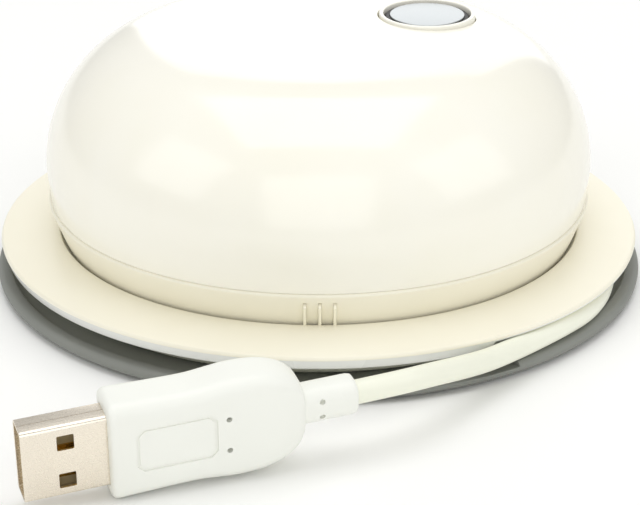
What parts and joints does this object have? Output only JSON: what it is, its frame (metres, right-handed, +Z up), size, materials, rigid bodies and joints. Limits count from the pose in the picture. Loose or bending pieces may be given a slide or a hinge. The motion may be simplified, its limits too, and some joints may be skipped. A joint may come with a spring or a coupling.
{
  "type": "usb hub",
  "caption": "Round desktop USB hub: a domed swivelling turret with a push button on a saucer base that winds its cord, which ends in a type A plug.",
  "frame": {"origin": "on the table, under the centre of the round base", "axes": "+Z up along the turret's swivel axis, -Y towards the user and the indicator bars, +X to the user's right"},
  "size_m": [0.1136, 0.1483, 0.0445],
  "materials": {
    "gloss_white": "glossy ABS, warm white",
    "cream_satin": "satin ABS, cream",
    "soft_grey": "soft-touch painted ABS, grey",
    "foot_rubber": "moulded rubber",
    "zinc_steel": "zinc-plated steel",
    "nickel_steel": "nickel-plated stamped steel",
    "gold_contact": "gold-plated phosphor bronze",
    "white_nylon": "moulded nylon",
    "natural_acetal": "moulded acetal",
    "cord_jacket": "soft PVC jacket, warm white",
    "wire_jacket": "PVC wire insulation",
    "plug_pvc": "moulded PVC, warm white, satin",
    "light_pipe": "clear-white acrylic",
    "solder_mask": "green solder mask",
    "board_black": "moulded epoxy or nylon, black",
    "button_black": "glossy ABS, black",
    "spun_silver": "spun and anodised aluminium"
  },
  "bodies": {
    "base": {"base_tray": "soft_grey", "rubber_feet": "foot_rubber", "ballast_ring": "zinc_steel", "cord_flange": "cream_satin", "base_screws": "zinc_steel", "slide_washer": "natural_acetal", "cord_clamp": "board_black", "inner_wires": "wire_jacket", "cord_coil": "cord_jacket", "cord_lead": "cord_jacket", "plug_overmold": "plug_pvc", "plug_shell": "nickel_steel", "plug_insulator": "white_nylon", "plug_contacts": "gold_contact"},
    "turret": {"board_screws": "zinc_steel", "button_bezel": "gloss_white", "button_spring": "zinc_steel", "capacitors": "board_black", "chassis_screws": "zinc_steel", "circuit_board": "solder_mask", "collar_ring": "cream_satin", "crystal": "nickel_steel", "dc_jack": "board_black", "dc_jack_pin": "nickel_steel", "dome_shell": "gloss_white", "hub_chip": "board_black", "indicator_bars": "light_pipe", "retainer_screws": "zinc_steel", "retaining_washer": "zinc_steel", "status_led": "light_pipe", "switch_body": "board_black", "turret_chassis": "cream_satin", "usb_contacts_1": "gold_contact", "usb_contacts_2": "gold_contact", "usb_contacts_3": "gold_contact", "usb_contacts_4": "gold_contact", "usb_shell_1": "nickel_steel", "usb_shell_2": "nickel_steel", "usb_shell_3": "nickel_steel", "usb_shell_4": "nickel_steel", "usb_tongue_1": "white_nylon", "usb_tongue_2": "white_nylon", "usb_tongue_3": "white_nylon", "usb_tongue_4": "white_nylon", "wire_header": "white_nylon"},
    "button": {"button_cap": "button_black", "button_disc": "spun_silver", "button_stem": "white_nylon", "switch_plunger": "board_black"}
  },
  "joints": [
    {"name": "turret_swivel", "type": "hinge", "parent": "base", "child": "turret", "pos_m": [0, 0, 0.0072], "axis": [0, 0, 1], "range_deg": [-90, 90]},
    {"name": "button_press", "type": "slide", "parent": "turret", "child": "button", "axis": [0, 0, -1], "range_m": [0, 0.0008], "stiffness_N_per_m": 1800, "springref_m": -0.0003, "deforming": ["button_spring"]}
  ]
}
